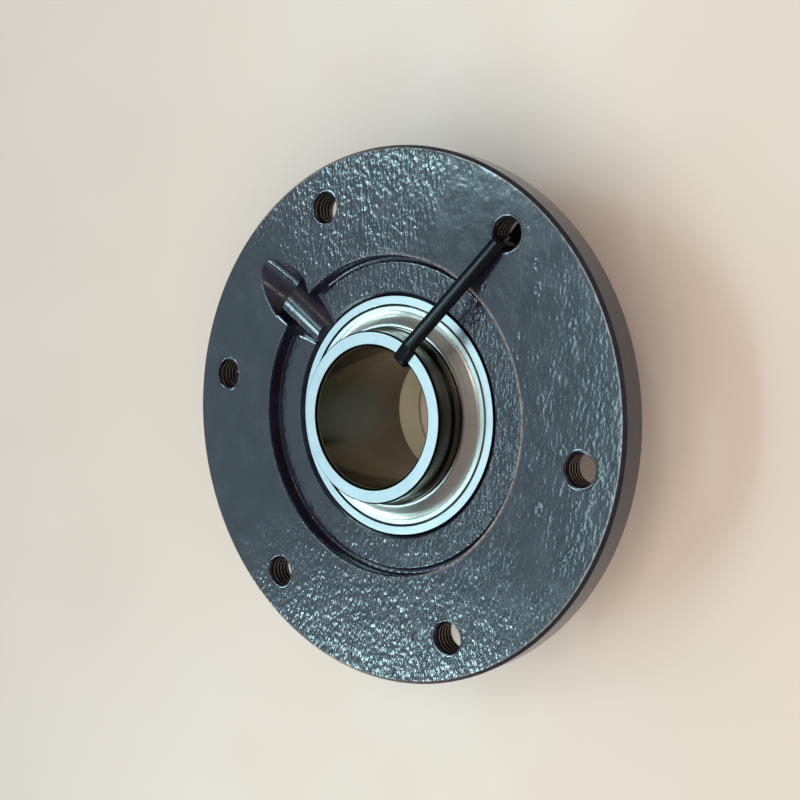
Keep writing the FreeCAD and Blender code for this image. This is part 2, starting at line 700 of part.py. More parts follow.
def rivet_bars(name, radius, low, high):
    """Cylinders between the balls, from low to high, as one tool."""
    bars = []
    for number in range(BALL_COUNT):
        place = on_ball_circle((number + 0.5) * BALL_STEP)
        place["Placement.Base.z"] = low
        sizes = {"Radius": radius, "Height": "%s - (%s)" % (high, low)}
        bars.append(primitive("Part::Cylinder", "%s_%02d" % (name, number + 1), sizes, place))
    return union(name, bars)


def tube(name, inner, outer, low, height):
    wide = primitive("Part::Cylinder", name + "_wide", {"Radius": outer, "Height": height}, at(height=low))
    narrow = primitive("Part::Cylinder", name + "_narrow", {
        "Radius": inner,
        "Height": height + " + 2",
    }, at(height=low + " - 1"))
    return boolean("Part::Cut", name, wide, narrow)


def make_cage_half(name, low, flat_low):
    """One pressed half of the riveted ribbon cage, on one side of the ball circle's plane."""
    inner = "Dims.cage_inner_dia / 2"
    outer = "Dims.cage_outer_dia / 2"
    cups = ring_of_balls(name + "_cups", "Dims.ball_dia / 2 + Dims.pocket_play + Dims.cage_sheet")
    side = tube(name + "_side", inner, outer, low, "9")
    domes = boolean("Part::Common", name + "_domes", cups, side)
    flat = tube(name + "_flat", inner, outer, flat_low, "Dims.cage_sheet")
    ribbon = union(name + "_ribbon", [domes, flat])
    pockets = ring_of_balls(name + "_pockets", "Dims.ball_dia / 2 + Dims.pocket_play")
    holes = rivet_bars(name + "_holes", "Dims.rivet_dia / 2", "Dims.sphere_z - 4", "Dims.sphere_z + 4")
    return boolean("Part::Cut", name, ribbon, union(name + "_openings", [pockets, holes]))


keep(make_cage_half("front_half", "Dims.sphere_z", "Dims.sphere_z"), "cage_front_half")
rear_low = "Dims.sphere_z - 9"
keep(make_cage_half("rear_half", rear_low, "Dims.sphere_z - Dims.cage_sheet"), "cage_rear_half")


def make_rivets():
    """One rivet between each two balls, with a round head on both sides of the cage."""
    top = "Dims.sphere_z + Dims.cage_sheet"
    bottom = "Dims.sphere_z - Dims.cage_sheet"
    shanks = rivet_bars("rivet_shanks", "Dims.rivet_dia / 2", bottom, top)
    upper = rivet_bars("rivet_heads_front", "Dims.rivet_dia * 0.9", top, top + " + 0.7")
    lower = rivet_bars("rivet_heads_rear", "Dims.rivet_dia * 0.9", bottom + " - 0.7", bottom)
    return union("rivets", [shanks, upper, lower])


keep(make_rivets(), "cage_rivets")
for number in range(BALL_COUNT):
    place = on_ball_circle(number * BALL_STEP)
    ball = primitive("Part::Sphere", "rolling_ball_%02d" % (number + 1), {"Radius": "Dims.ball_dia / 2"}, place)
    keep(ball, "ball_%02d" % (number + 1))


# ---------------------------------------------------------------- seals
def seal_height(side, offset):
    """Height of a seal corner, offset from the ring's face; side is + in front, - behind."""
    return "Dims.sphere_z %s (Dims.ring_width / 2 + (%s))" % (side, offset)


def make_shield(name, side):
    """Pressed steel seal carrier: flat rim, bead, cone that rises to the inner ring, and lip."""
    seat = "Dims.seal_seat_dia / 2"
    lip = "Dims.shoulder_dia / 2 + 0.3"
    outline = [
        (seat, "-Dims.seal_seat_depth"),
        (seat, "-Dims.seal_seat_depth + 0.8"),
        (seat + " - 0.55", "-Dims.seal_seat_depth + 1.1"),
        (seat + " - 0.55", "-0.35"),
        (seat + " - 0.8", "-0.1"),
        (seat + " - 2.2", "-0.1"),
        (seat + " - 2.6", "-0.8"),
        (seat + " - 3.3", "-1.0"),
        (seat + " - 3.9", "-0.7"),
        (seat + " - 5.4", "0.7"),
        (lip + " + 1.0", "2.3"),
        (lip + " + 0.7", "2.8"),
        (lip, "2.8"),
        (lip, "2.2"),
        (lip + " + 0.45", "2.2"),
        (lip + " + 0.6", "1.5"),
        (seat + " - 5.2", "-0.1"),
        (seat + " - 4.0", "-1.5"),
        (seat + " - 3.3", "-1.7"),
        (seat + " - 2.2", "-1.5"),
        (seat + " - 1.5", "-0.8"),
        (seat + " - 1.0", "-0.9"),
        (seat + " - 0.9", "-Dims.seal_seat_depth"),
    ]
    corners = [(radius, seal_height(side, offset)) for radius, offset in outline]
    return turned_body(name, corners)


def make_seal_lip(name, side):
    """Moulded rubber seal under the carrier, with its lip on the inner ring's shoulder."""
    seat = "Dims.seal_seat_dia / 2"
    wiper = "Dims.shoulder_dia / 2 + 0.05"
    outline = [
        (seat + " - 3.4", "-1.7"),
        (seat + " - 4.0", "-1.5"),
        (seat + " - 5.2", "-0.1"),
        ("Dims.shoulder_dia / 2 + 0.9", "1.5"),
        (wiper + " + 0.6", "1.4"),
        (wiper, "0.9"),
        (wiper, "0.5"),
        (wiper + " + 0.8", "-0.4"),
        (seat + " - 5.6", "-1.4"),
        (seat + " - 4.6", "-2.2"),
        (seat + " - 3.4", "-2.2"),
    ]
    corners = [(radius, seal_height(side, offset)) for radius, offset in outline]
    return turned_body(name, corners)


for place_name, side in (("front", "+"), ("rear", "-")):
    keep(make_shield(place_name + "_carrier", side), place_name + "_seal_carrier")
    keep(make_seal_lip(place_name + "_lip", side), place_name + "_seal_lip")


# ---------------------------------------------------------------- locating pin
pin = primitive("Part::Cylinder", "pin_bar", {
    "Radius": "Dims.pin_dia / 2",
    "Height": "Dims.pin_end - Dims.pin_tip",
})
leaning(pin, "0", "90", ("Dims.pin_tip", "0", "Dims.sphere_z"))
keep(pin, "alignment_pin")

# ---------------------------------------------------------------- checks and export
doc.recompute()
for item in doc.Objects:
    if "Invalid" in item.State or "Error" in item.State:
        raise RuntimeError("%s failed: %s" % (item.Name, item.State))
for feature in subparts:
    if feature.Shape.isNull() or not feature.Shape.isValid():
        raise RuntimeError("%s has no valid shape" % feature.Label)

os.makedirs("parts", exist_ok=True)
for feature in subparts:
    feature.Shape.exportStep("parts/%s.step" % feature.Label)
    box = feature.Shape.BoundBox
    print("%-18s solids %2d  volume %10.1f  z %.2f..%.2f" % (
        feature.Label, len(feature.Shape.Solids), feature.Shape.Volume, box.ZMin, box.ZMax))
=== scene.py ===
"""Round flange bearing unit on a pale table, with its transport tie.

Units are metres in the row frame: the origin is on the bearing axis in the rear face of the
flange, and +Z leaves the cast front face.
"""
import json
import math

import bmesh
import bpy
import numpy as np
from mathutils import Matrix, Vector


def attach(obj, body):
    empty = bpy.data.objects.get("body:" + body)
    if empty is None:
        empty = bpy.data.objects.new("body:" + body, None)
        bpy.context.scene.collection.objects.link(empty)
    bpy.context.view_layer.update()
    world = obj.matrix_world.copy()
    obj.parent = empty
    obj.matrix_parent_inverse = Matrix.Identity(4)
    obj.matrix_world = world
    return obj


MM = 0.001

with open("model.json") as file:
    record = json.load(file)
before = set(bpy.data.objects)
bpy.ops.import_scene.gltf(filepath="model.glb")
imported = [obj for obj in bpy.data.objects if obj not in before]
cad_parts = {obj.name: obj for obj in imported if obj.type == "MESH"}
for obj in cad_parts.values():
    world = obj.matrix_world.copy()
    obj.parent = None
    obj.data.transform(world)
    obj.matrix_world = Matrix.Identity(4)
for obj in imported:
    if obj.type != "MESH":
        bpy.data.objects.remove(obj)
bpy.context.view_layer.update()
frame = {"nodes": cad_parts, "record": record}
nodes = frame["nodes"]

# ------------------------------------------------------------------ sizes, in millimetres
FACE_Z = 11.4                         # cast front face
LAND_Z = 6.9                          # flat land around the insert's seat
FLAT_OUT = 94.9                       # outer edge of the flat face, at the rim's chamfer
STEP_R = 57.6                         # step wall between the face and the land
STEP_ROUND = 0.5                      # round on the upper edge of the step
LAND_R = 55.45                        # outer edge of the land
SEAT_MOUTH = 44.9                     # mouth of the insert's seat in the land
HOLE_COUNT = 6
HOLE_STEP = 2.0 * math.pi / HOLE_COUNT
HOLE_CIRCLE = 81.0                    # radius of the circle of tapped holes
HOLE_R = 6.0
THREAD_CREST = 5.1                    # radius of the thread's crests
THREAD_PITCH = 1.75
LIP_R = 6.4                           # outer radius of the paint bead around each hole
PORT_ANGLE = math.radians(146.35)     # direction of the lubrication port about +Z
PORT_TILT = math.radians(25.5)        # the port's axis dips towards the seat by this angle
SCOOP_R = 10.3                        # hollow in front of the port
SCOOP_CROSS = 57.96                   # where the hollow's axis crosses the face
SPOT_FACE = 63.6                      # where the port's spot face meets the face
RING_MIDDLE = -4.9                    # height of the ball centres
OUTER_HALF = 11.0                     # half the width of the outer ring
INNER_HALF = 24.6                     # half the width of the inner ring
RING_END = 19.7                       # front end of the inner ring
NOSE_R = 30.7
BORE_R = 25.0
COLLAR_R = 34.95
COLLAR_END = -43.0                    # rear end of the locking collar
FLOOR_Z = -44.3                       # the unit stands on the tie under its collar
SKIN = 0.12                           # how far the paint skins stand above the cast faces
TIE_HOLE = 1                          # the tapped hole that the tie goes through, from +X
TIE_AT_RING = math.radians(64.0)      # where the tie crosses the inner ring
TIE_WIDTH = 5.4
TIE_THICK = 1.1
TIE_GAP = 0.25                        # between the tie and what it passes over


# ------------------------------------------------------------------ materials
class Finish:
    """A node material on one Principled shader, in object coordinates in millimetres."""

    def __init__(self, name, **constant):
        self.mat = bpy.data.materials.new(name)
        self.mat.use_nodes = True
        self.tree = self.mat.node_tree
        self.shader = self.tree.nodes["Principled BSDF"]
        for socket, value in constant.items():
            self.shader.inputs[socket.replace("_", " ")].default_value = value
        coords = self.node("ShaderNodeTexCoord")
        scaled = self.node("ShaderNodeVectorMath", operation="SCALE")
        scaled.inputs["Scale"].default_value = 1000.0
        self.link(coords.outputs["Object"], scaled.inputs[0])
        self.place = scaled.outputs[0]

    def node(self, kind, **options):
        made = self.tree.nodes.new(kind)
        for option, value in options.items():
            setattr(made, option, value)
        return made

    def link(self, source, target):
        self.tree.links.new(source, target)

    def feed(self, value, socket):
        """Link an output, or set a plain number, on a socket."""
        if isinstance(value, bpy.types.NodeSocket):
            self.link(value, socket)
        else:
            socket.default_value = value

    def math(self, operation, first, second=0.0):
        """Output of a math node on two numbers or outputs."""
        made = self.node("ShaderNodeMath", operation=operation)
        self.feed(first, made.inputs[0])
        self.feed(second, made.inputs[1])
        return made.outputs[0]

    def stretched(self, x, y, z):
        """Coordinates with their own stretch on each axis; a small one draws the noise out."""
        made = self.node("ShaderNodeVectorMath", operation="MULTIPLY")
        self.link(self.place, made.inputs[0])
        made.inputs[1].default_value = (x, y, z)
        return made.outputs[0]

    def around_axis(self, radial, angular, axial):
        """Coordinates (radius, angle, height) about the Z axis, each with its own stretch."""
        parts = self.node("ShaderNodeSeparateXYZ")
        self.link(self.place, parts.inputs[0])
        across, depth, height = parts.outputs
        angle = self.math("ARCTAN2", depth, across)
        radius = self.math("SQRT", self.math(
            "ADD", self.math("MULTIPLY", across, across), self.math("MULTIPLY", depth, depth)))
        joined = self.node("ShaderNodeCombineXYZ")
        self.link(self.math("MULTIPLY", radius, radial), joined.inputs[0])
        self.link(self.math("MULTIPLY", angle, angular), joined.inputs[1])
        self.link(self.math("MULTIPLY", height, axial), joined.inputs[2])
        return joined.outputs[0]

    def noise(self, size, detail=3.0, rough=0.55, place=None):
        """Noise whose features are about size millimetres across."""
        made = self.node("ShaderNodeTexNoise")
        self.link(self.place if place is None else place, made.inputs["Vector"])
        made.inputs["Scale"].default_value = 1.0 / size
        made.inputs["Detail"].default_value = detail
        made.inputs["Roughness"].default_value = rough
        return made.outputs["Fac"]

    def spread(self, value, low, high, to_low, to_high):
        """Map a value from one range to another, clamped."""
        made = self.node("ShaderNodeMapRange")
        self.feed(value, made.inputs["Value"])
        limits = {"From Min": low, "From Max": high, "To Min": to_low, "To Max": to_high}
        for socket, number in limits.items():
            made.inputs[socket].default_value = number
        return made.outputs["Result"]

    def ramp(self, value, stops):
        """Colour of a value, from (position, colour) stops."""
        made = self.node("ShaderNodeValToRGB")
        self.feed(value, made.inputs["Fac"])
        points = made.color_ramp.elements
        while len(points) < len(stops):
            points.new(0.5)
        for point, (position, colour) in zip(points, stops):
            point.position = position
            point.color = (*colour, 1.0)
        return made.outputs["Color"]

    def blend(self, amount, first, second):
        """Mix of two colours."""
        made = self.node("ShaderNodeMix", data_type="RGBA")
        self.feed(amount, made.inputs["Factor"])
        for colour, socket in ((first, made.inputs["A"]), (second, made.inputs["B"])):
            self.feed(colour if isinstance(colour, bpy.types.NodeSocket) else (*colour, 1.0), socket)
        return made.outputs["Result"]

    def to(self, socket, value):
        """Drive one socket of the shader."""
        self.link(value, self.shader.inputs[socket])

    def bump(self, layers):
        """Bump from (height, depth in millimetres) layers; a coat takes the same bump."""
        normal = None
        for height, depth in layers:
            made = self.node("ShaderNodeBump")
            made.inputs["Strength"].default_value = 1.0
            made.inputs["Distance"].default_value = depth * MM
            self.link(height, made.inputs["Height"])
            if normal is not None:
                self.link(normal, made.inputs["Normal"])
            normal = made.outputs["Normal"]
        self.link(normal, self.shader.inputs["Normal"])
        if self.shader.inputs["Coat Weight"].default_value > 0.0:
            self.link(normal, self.shader.inputs["Coat Normal"])


def cast_paint():
    """Glossy dark paint.

    The vertex value "grain" says how rough the casting under it is; a second vertex value says
    how strongly a painted highlight, a pale line standing in for light caught on a round edge, lies along
    it.
    """
    paint = Finish("cast_paint", Specular_IOR_Level=0.35, Coat_Weight=0.6, Coat_Roughness=0.09)
    grain = paint.node("ShaderNodeAttribute", attribute_name="grain").outputs["Fac"]
    # A surface without the value, such as the rim, has the thinner coat.
    paint.to("Coat Weight", paint.spread(grain, 0.0, 0.06, 0.30, 0.62))
    painted_edge_highlight = paint.node("ShaderNodeAttribute", attribute_name="painted_edge_highlight").outputs["Fac"]
    patches = paint.noise(9.0, detail=3.0)
    fine = paint.noise(1.25, detail=1.5, place=paint.stretched(1.0, 0.45, 1.0))
    sound = paint.ramp(patches, [
        (0.30, (0.009, 0.009, 0.018)),
        (0.55, (0.013, 0.013, 0.025)),
        (0.75, (0.019, 0.021, 0.034)),
    ])
    # Painted highlight: a pale line mixed into the base colour along the round edges.
    edge_highlight_paint = paint.math("MULTIPLY", painted_edge_highlight, paint.spread(paint.noise(1.6), 0.35, 0.55, 0.35, 1.0))
    paint.to("Base Color", paint.blend(edge_highlight_paint, sound, (0.27, 0.23, 0.21)))
    paint.to("Roughness", paint.spread(patches, 0.3, 0.7, 0.20, 0.27))
    centred = paint.math("SUBTRACT", fine, 0.5)
    paint.bump([
        (paint.noise(3.4, detail=3.0), 0.08),
        (paint.math("MULTIPLY", centred, grain), 0.80),
    ])
    return paint.mat


def ground_steel(name, colour, rough, depth, along):
    """Ground or polished steel with fine marks that run around the axis or along it."""
    steel = Finish(name, Metallic=1.0)
    marks = steel.noise(1.0, detail=4.0, place=along(steel))
    stain = steel.noise(14.0, detail=3.0)
    low = tuple(0.90 * c for c in colour)
    steel.to("Base Color", steel.blend(steel.spread(stain, 0.35, 0.7, 0.0, 1.0), colour, low))
    steel.to("Roughness", steel.spread(marks, 0.3, 0.7, rough * 0.8, rough * 1.25))
    steel.bump([(marks, depth)])
    return steel.mat


def turned(steel):
    """Coordinates for marks that a lathe leaves, long around the axis."""
    return steel.around_axis(5.0, 1.6, 5.0)


def scaled_ring(name, middle, half_width, edge, scale):
    """Bearing ring: bright ground end faces, black edges and heat-treat scale elsewhere.

    The end faces lie half_width from the height middle, and the black edge is edge wide; all in
    millimetres. The scale colour is the bore's; away from the bore it is painted darker, as painted shade.
    """
    steel = Finish(name, Metallic=1.0)
    height = steel.node("ShaderNodeSeparateXYZ")
    steel.link(steel.place, height.inputs[0])
    from_middle = steel.math("ABSOLUTE", steel.math("SUBTRACT", height.outputs["Z"], middle))
    bright = steel.spread(from_middle, half_width - 0.06, half_width - 0.02, 0.0, 1.0)
    near_edge = steel.spread(from_middle, half_width - edge, half_width - edge + 0.12, 0.0, 1.0)
    marks = steel.noise(1.0, detail=4.0, place=turned(steel))
    stain = steel.noise(11.0, detail=4.0)
    stained = steel.spread(stain, 0.35, 0.7, 0.0, 1.0)
    ground = steel.blend(stained, (0.74, 0.76, 0.77), (0.66, 0.69, 0.70))
    radius = steel.node("ShaderNodeSeparateXYZ")
    steel.link(steel.around_axis(1.0, 0.0, 0.0), radius.inputs[0])
    # Painted shade: the ring's faces away from the bore are painted darker.
    painted_shade_outside = steel.spread(radius.outputs["X"], BORE_R + 0.5, BORE_R + 1.5, 0.0, 1.0)
    scale_with_painted_shade = steel.blend(stain, scale, tuple(1.5 * tone for tone in scale))
    scale_with_painted_shade = steel.blend(painted_shade_outside, scale_with_painted_shade, tuple(0.45 * tone for tone in scale))
    dark = steel.blend(near_edge, scale_with_painted_shade, (0.006, 0.006, 0.006))
    steel.to("Base Color", steel.blend(bright, dark, ground))
    satin = steel.spread(marks, 0.3, 0.7, 0.17, 0.24)
    polish = steel.spread(stain, 0.3, 0.7, 0.13, 0.24)
    steel.to("Roughness", steel.math("ADD", steel.math("MULTIPLY", bright, satin), steel.math(
        "MULTIPLY", steel.math("SUBTRACT", 1.0, bright), polish)))
    steel.bump([(marks, 0.004)])
    return steel.mat


def pressed_sheet():
    """Plain sheet steel of the seal carriers, with faint marks around the axis."""
    sheet = Finish("seal_plate", Metallic=1.0)
    grain = sheet.noise(1.0, detail=4.0, place=sheet.around_axis(1.2, 2.2, 1.2))
    cloud = sheet.noise(7.0, detail=3.0)
    sheet.to("Base Color", sheet.blend(cloud, (0.66, 0.64, 0.61), (0.55, 0.53, 0.50)))
    sheet.to("Roughness", sheet.spread(cloud, 0.3, 0.7, 0.30, 0.38))
    sheet.bump([(grain, 0.003)])
    return sheet.mat


def olive_collar():
    """Olive-yellow plating of the locking collar."""
    olive = Finish("collar_steel", Metallic=0.1)
    cloud = olive.noise(6.0, detail=4.0)
    olive.to("Base Color", olive.blend(cloud, (0.70, 0.67, 0.50), (0.78, 0.74, 0.57)))
    olive.to("Roughness", olive.spread(cloud, 0.3, 0.7, 0.42, 0.58))
    olive.bump([(olive.noise(1.0, detail=3.0, place=olive.around_axis(4.0, 1.5, 4.0)), 0.01)])
    return olive.mat


def dark_oxide(name="black_screw", tone=0.03):
    """Oxidised steel; the tone goes from nearly black to bright; the threads' crests take a bright tone as
    painted highlight.
    """
    dark = Finish(name, Metallic=0.6)
    cloud = dark.noise(1.2, detail=4.0)
    dark.to("Base Color", dark.blend(cloud, (tone, tone, tone), (tone * 2.4, tone * 2.2, tone * 2.0)))
    dark.to("Roughness", dark.spread(cloud, 0.3, 0.7, 0.28, 0.46))
    dark.bump([(cloud, 0.015)])
    return dark.mat


def seal_rubber(name="seal_rubber", shine=0.4):
    """Matt black; the less shine, the blacker."""
    rubber = Finish(name, Specular_IOR_Level=shine)
    cloud = rubber.noise(1.5, detail=4.0)
    low, high = 0.03 * shine, 0.07 * shine
    rubber.to("Base Color", rubber.blend(cloud, (low, low, low), (high, 0.96 * high, 0.93 * high)))
    rubber.to("Roughness", rubber.spread(cloud, 0.3, 0.7, 0.5, 0.7))
    rubber.bump([(cloud, 0.02)])
    return rubber.mat


def black_nylon():
    """Smooth black plastic of the tie."""
    nylon = Finish("black_nylon", Specular_IOR_Level=0.07)
    cloud = nylon.noise(3.0, detail=3.0)
    nylon.to("Base Color", nylon.blend(cloud, (0.002, 0.0025, 0.004), (0.006, 0.007, 0.010)))
    nylon.to("Roughness", nylon.spread(cloud, 0.3, 0.7, 0.16, 0.26))
    nylon.bump([(nylon.noise(0.8, detail=2.0), 0.012)])
    return nylon.mat


paint = cast_paint()
outer_steel = scaled_ring("outer_ring_steel", RING_MIDDLE, OUTER_HALF, 1.6, (0.10, 0.085, 0.07))
inner_steel = scaled_ring("inner_ring_steel", RING_MIDDLE, INNER_HALF, 0.85, (0.17, 0.155, 0.13))
sheet_steel = pressed_sheet()
collar_steel = olive_collar()
black_steel = dark_oxide()
# Painted highlight and painted shade on the threads: the crests are painted pale and the flanks and roots
# near black, though they are one steel.
crest_painted_highlight = dark_oxide("thread_crest_painted_highlight", tone=0.42)
flank_painted_shade = seal_rubber("thread_flank_painted_shade", shine=0.15)
cage_steel = ground_steel("cage_steel", (0.55, 0.51, 0.45), 0.34, 0.010, turned)
ball_steel = ground_steel("ball_steel", (0.80, 0.81, 0.83), 0.08, 0.001, turned)
rubber = seal_rubber()
nylon = black_nylon()

SLOT_FINISH = {
    "cast_paint": paint,
    "bearing_steel": outer_steel,
    "seal_plate": sheet_steel,
    "collar_steel": collar_steel,
    "black_screw": black_steel,
    "cage_steel": cage_steel,
    "ball_steel": ball_steel,
    "seal_rubber": rubber,
}
NODE_FINISH = {"outer_ring": outer_steel, "inner_ring": inner_steel}
for part in frame["record"]["subparts"]:
    mesh = nodes[part["node"]].data
    mesh.materials.clear()
    mesh.materials.append(NODE_FINISH.get(part["node"]) or SLOT_FINISH[part["material_slot"]])


# ------------------------------------------------------------------ cast skin on the housing
# One seed for each layer of noise on the casting.
SEED_FINE, SEED_MIDDLE, SEED_BROAD, SEED_SWELL, SEED_PITS, SEED_PATCH, SEED_BURR, SEED_CRATERS = range(1, 9)
LATTICE_SIZE = 512        # the noise repeats after this many cells
FAR = 1e9


def lattice_noise(across, depth, cell, seed):
    """Smooth noise of about -1 to 1 over a plane, from seeded slopes on a square lattice."""
    size = LATTICE_SIZE
    turn = np.random.default_rng(seed).uniform(0.0, 2.0 * math.pi, (size, size))
    u, v = across / cell, depth / cell
    column, row = np.floor(u).astype(int), np.floor(v).astype(int)
    fu, fv = u - column, v - row
    total = 0.0
    for du in (0, 1):
        for dv in (0, 1):
            slope = turn[(column + du) % size, (row + dv) % size]
            reach = np.cos(slope) * (fu - du) + np.sin(slope) * (fv - dv)
            near_u = 1.0 - np.abs(fu - du)
            near_v = 1.0 - np.abs(fv - dv)
            total = total + smooth_step(near_u, 0.0, 1.0) * smooth_step(near_v, 0.0, 1.0) * reach
    return 1.6 * total


def smooth_step(value, low, high):
    """0 below low, 1 above high, with a smooth rise between."""
    t = np.clip((value - low) / (high - low), 0.0, 1.0)
    return t * t * (3.0 - 2.0 * t)


def line_distance(across, depth, start, end):
    """Distance to a straight line between two points."""
    run_x, run_y = end[0] - start[0], end[1] - start[1]
    off_x, off_y = across - start[0], depth - start[1]
    share = np.clip((off_x * run_x + off_y * run_y) / (run_x ** 2 + run_y ** 2), 0.0, 1.0)
    return np.hypot(off_x - share * run_x, off_y - share * run_y)


def polygon_distance(across, depth, corners):
    """Signed distance to a polygon, negative inside."""
    nearest = np.full(across.shape, FAR)
    inside = np.zeros(across.shape, bool)
    for start, end in zip(corners, corners[1:] + corners[:1]):
        nearest = np.minimum(nearest, line_distance(across, depth, start, end))
        (x0, y0), (x1, y1) = start, end
        crosses = (y0 > depth) != (y1 > depth)
        with np.errstate(divide="ignore", invalid="ignore"):
            left = across < x0 + (depth - y0) * (x1 - x0) / (y1 - y0)
        inside ^= crosses & left
    return np.where(inside, -nearest, nearest)


# Plan of the notch around the port's rib, as (distance from the axis, half width) on each side.
VALLEY_LEFT = [
    (40.0, 5.2), (LAND_R - 11.1, 6.2), (LAND_R - 6.4, 8.1), (LAND_R - 2.7, 9.8), (LAND_R - 0.9, 11.2),
    (LAND_R + 0.2, 13.0), (LAND_R + 0.9, 13.0), (STEP_R - 1.2, 8.4), (STEP_R + 4.3, 9.3), (63.8, 9.6),
]
VALLEY_RIGHT = [
    (40.0, 5.2), (LAND_R - 10.2, 6.3), (LAND_R - 5.9, 7.9), (LAND_R - 2.5, 9.3), (LAND_R - 1.0, 10.5),
    (LAND_R - 0.1, 12.6), (LAND_R + 0.9, 12.6), (STEP_R - 1.2, 7.0), (STEP_R + 4.6, 9.6), (63.8, 9.9),
]


def hole_centre(number):
    """Centre of a tapped hole, as (x, y); number 0 is on +X."""
    angle = number * HOLE_STEP
    return HOLE_CIRCLE * math.cos(angle), HOLE_CIRCLE * math.sin(angle)


def room_to_port(across, depth):
    """Distance from each point of a cast face to the nearest edge of the port's hollow and notch."""
    along = across * math.cos(PORT_ANGLE) + depth * math.sin(PORT_ANGLE)
    aside = depth * math.cos(PORT_ANGLE) - across * math.sin(PORT_ANGLE)
    off_axis = np.hypot(aside, (along - SCOOP_CROSS) * math.sin(PORT_TILT)) - SCOOP_R
    scoop = np.maximum(off_axis, SPOT_FACE - along)
    outline = VALLEY_LEFT + [(x, -y) for x, y in reversed(VALLEY_RIGHT)]
    return np.minimum(scoop, polygon_distance(along, aside, outline))


def room_to_holes(across, depth):
    """Distance from each point of the face to the nearest paint bead around a hole."""
    room = np.full(across.shape, FAR)
    for number in range(HOLE_COUNT):
        x, y = hole_centre(number)
        room = np.minimum(room, np.hypot(across - x, depth - y) - LIP_R)
    return room


# How rough the casting is, as (direction about the axis in degrees, amount).
FACE_GRAIN = [
    (0, 0.13), (45, 0.11), (70, 0.07), (80, 0.12), (86, 0.36), (92, 0.56),
    (126, 0.56), (140, 0.40), (156, 0.20), (180, 0.10), (222, 0.12), (238, 0.36),
    (256, 0.52), (296, 0.52), (316, 0.36), (334, 0.15), (360, 0.13),
]
LAND_GRAIN = [
    (0, 0.46), (60, 0.42), (80, 0.56), (132, 0.56), (150, 0.36), (185, 0.15),
    (235, 0.25), (262, 0.50), (300, 0.52), (360, 0.46),
]
# How strong the painted highlight on a face's two round edges is, by the same direction: a pale line
# standing in for light caught by those edges.
FACE_EDGE_HIGHLIGHT = [
    (0, 1.0), (40, 0.9), (75, 0.6), (100, 0.15), (120, 0.0), (280, 0.0), (300, 0.3),
    (325, 1.0), (360, 1.0),
]
NO_EDGE_HIGHLIGHT = [(0, 0.0), (360, 0.0)]


def grain_amount(across, depth, table):
    """How rough the casting is at each point, from 0 to about 1."""
    angle = np.degrees(np.arctan2(depth, across)) % 360.0
    directions, amounts = zip(*table)
    patch = 1.0 + 0.45 * lattice_noise(across, depth, 9.0, SEED_PATCH)
    return np.clip(np.interp(angle, directions, amounts) * patch, 0.05, 1.6)


def cast_relief(across, depth, amount):
    """Height of the cast texture in millimetres; amount scales its two finest layers and its pits."""
    fine = lattice_noise(across, depth, 1.25, SEED_FINE)
    middle = lattice_noise(across, depth, 2.3, SEED_MIDDLE)
    broad = lattice_noise(across, depth, 6.5, SEED_BROAD)
    swell = lattice_noise(across, depth, 21.0, SEED_SWELL)
    height = amount * (0.060 * fine + 0.050 * middle) + 0.045 * broad + 0.05 * swell
    pits = lattice_noise(across, depth, 1.7, SEED_PITS)
    return height - 0.12 * amount * smooth_step(pits, 0.5, 0.9)


# A crooked burr in the casting beside the hole on +X, as (x, y) points in millimetres.
BURR = [(88.3, 0.5), (85.7, -4.7), (86.2, -9.8), (85.3, -16.6), (82.8, -25.3), (80.0, -30.8)]
BURR_PITS = [(91.2, 8.3), (81.3, -31.4), (77.1, -37.8)]
CRATER_COUNT = 56
CRATER_RADII = (60.0, 93.0)
CRATER_SECTOR = (-28.0, 62.0)     # degrees from +X
CRATER_ROOM = 3.4                 # least distance between two


def marks(across, depth):
    """Craters on the calm side of the flange face and the burr beside the +X hole."""
    draw = np.random.default_rng(23)
    centres = list(BURR_PITS)
    while len(centres) < CRATER_COUNT:
        radius, angle = draw.uniform(*CRATER_RADII), math.radians(draw.uniform(*CRATER_SECTOR))
        x, y = radius * math.cos(angle), radius * math.sin(angle)
        if min(math.hypot(x - other_x, y - other_y) for other_x, other_y in centres) > CRATER_ROOM:
            centres.append((x, y))
    craters = np.zeros(across.shape)
    for x, y in centres:
        reach = 0.28 + 0.42 * draw.uniform(0.0, 1.0) ** 2
        off = np.hypot((across - x) / reach, (depth - y) / (1.7 * reach))
        craters += 0.26 * reach * (np.exp(-((off - 1.5) / 0.55) ** 2) - 1.2 * np.exp(-off ** 2))
    craters *= np.clip(0.45 + 0.9 * lattice_noise(across, depth, 1.1, SEED_CRATERS), 0.0, 1.2)
    nearest = np.full(across.shape, FAR)
    for start, end in zip(BURR, BURR[1:]):
        nearest = np.minimum(nearest, line_distance(across, depth, start, end))
    broken = np.clip(0.5 + 0.8 * lattice_noise(across, depth, 2.4, SEED_BURR), 0.0, 1.0)
    return craters + 0.22 * broken * np.exp(-(nearest / 0.55) ** 2)


